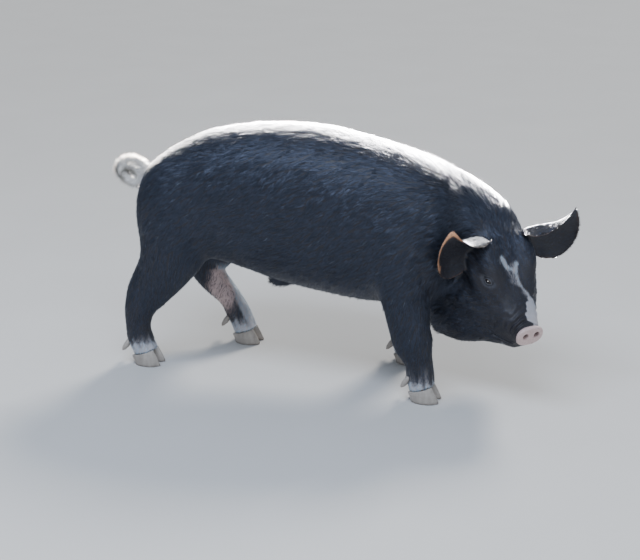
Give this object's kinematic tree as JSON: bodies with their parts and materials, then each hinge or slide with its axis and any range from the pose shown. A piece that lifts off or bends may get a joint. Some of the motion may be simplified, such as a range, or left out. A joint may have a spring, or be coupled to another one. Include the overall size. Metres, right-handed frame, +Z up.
{
  "type": "pig",
  "caption": "Young black pig with a white blaze, snout and tail, in a slow walking stance with its head lowered and turned to its right; a still, life-size museum-type model.",
  "frame": {"origin": "on the floor under the middle of the box around the whole animal", "axes": "+X along the body towards the head, +Y to the pig's left, +Z up"},
  "size_m": [1.0762, 0.3132, 0.5858],
  "materials": {
    "hide_black": "black skin under short, dense, glossy bristles",
    "snout_pink": "bare, moist, pink skin",
    "tail_white": "white bristles",
    "claw_horn": "worn horn",
    "eye_brown": "wet eye"
  },
  "bodies": {
    "root": {"ear_left": "hide_black", "ear_right": "hide_black", "eye_left": "eye_brown", "eye_right": "eye_brown", "foreleg_left_claw_inner": "claw_horn", "foreleg_left_claw_outer": "claw_horn", "foreleg_left_dewclaw_inner": "claw_horn", "foreleg_left_dewclaw_outer": "claw_horn", "foreleg_left_lower": "hide_black", "foreleg_left_upper": "hide_black", "foreleg_right_claw_inner": "claw_horn", "foreleg_right_claw_outer": "claw_horn", "foreleg_right_dewclaw_inner": "claw_horn", "foreleg_right_dewclaw_outer": "claw_horn", "foreleg_right_lower": "hide_black", "foreleg_right_upper": "hide_black", "head": "hide_black", "hindleg_left_claw_inner": "claw_horn", "hindleg_left_claw_outer": "claw_horn", "hindleg_left_dewclaw_inner": "claw_horn", "hindleg_left_dewclaw_outer": "claw_horn", "hindleg_left_lower": "hide_black", "hindleg_left_upper": "hide_black", "hindleg_right_claw_inner": "claw_horn", "hindleg_right_claw_outer": "claw_horn", "hindleg_right_dewclaw_inner": "claw_horn", "hindleg_right_dewclaw_outer": "claw_horn", "hindleg_right_lower": "hide_black", "hindleg_right_upper": "hide_black", "lower_jaw": "hide_black", "neck": "hide_black", "snout": "snout_pink", "tail": "tail_white", "trunk": "hide_black"}
  },
  "joints": []
}
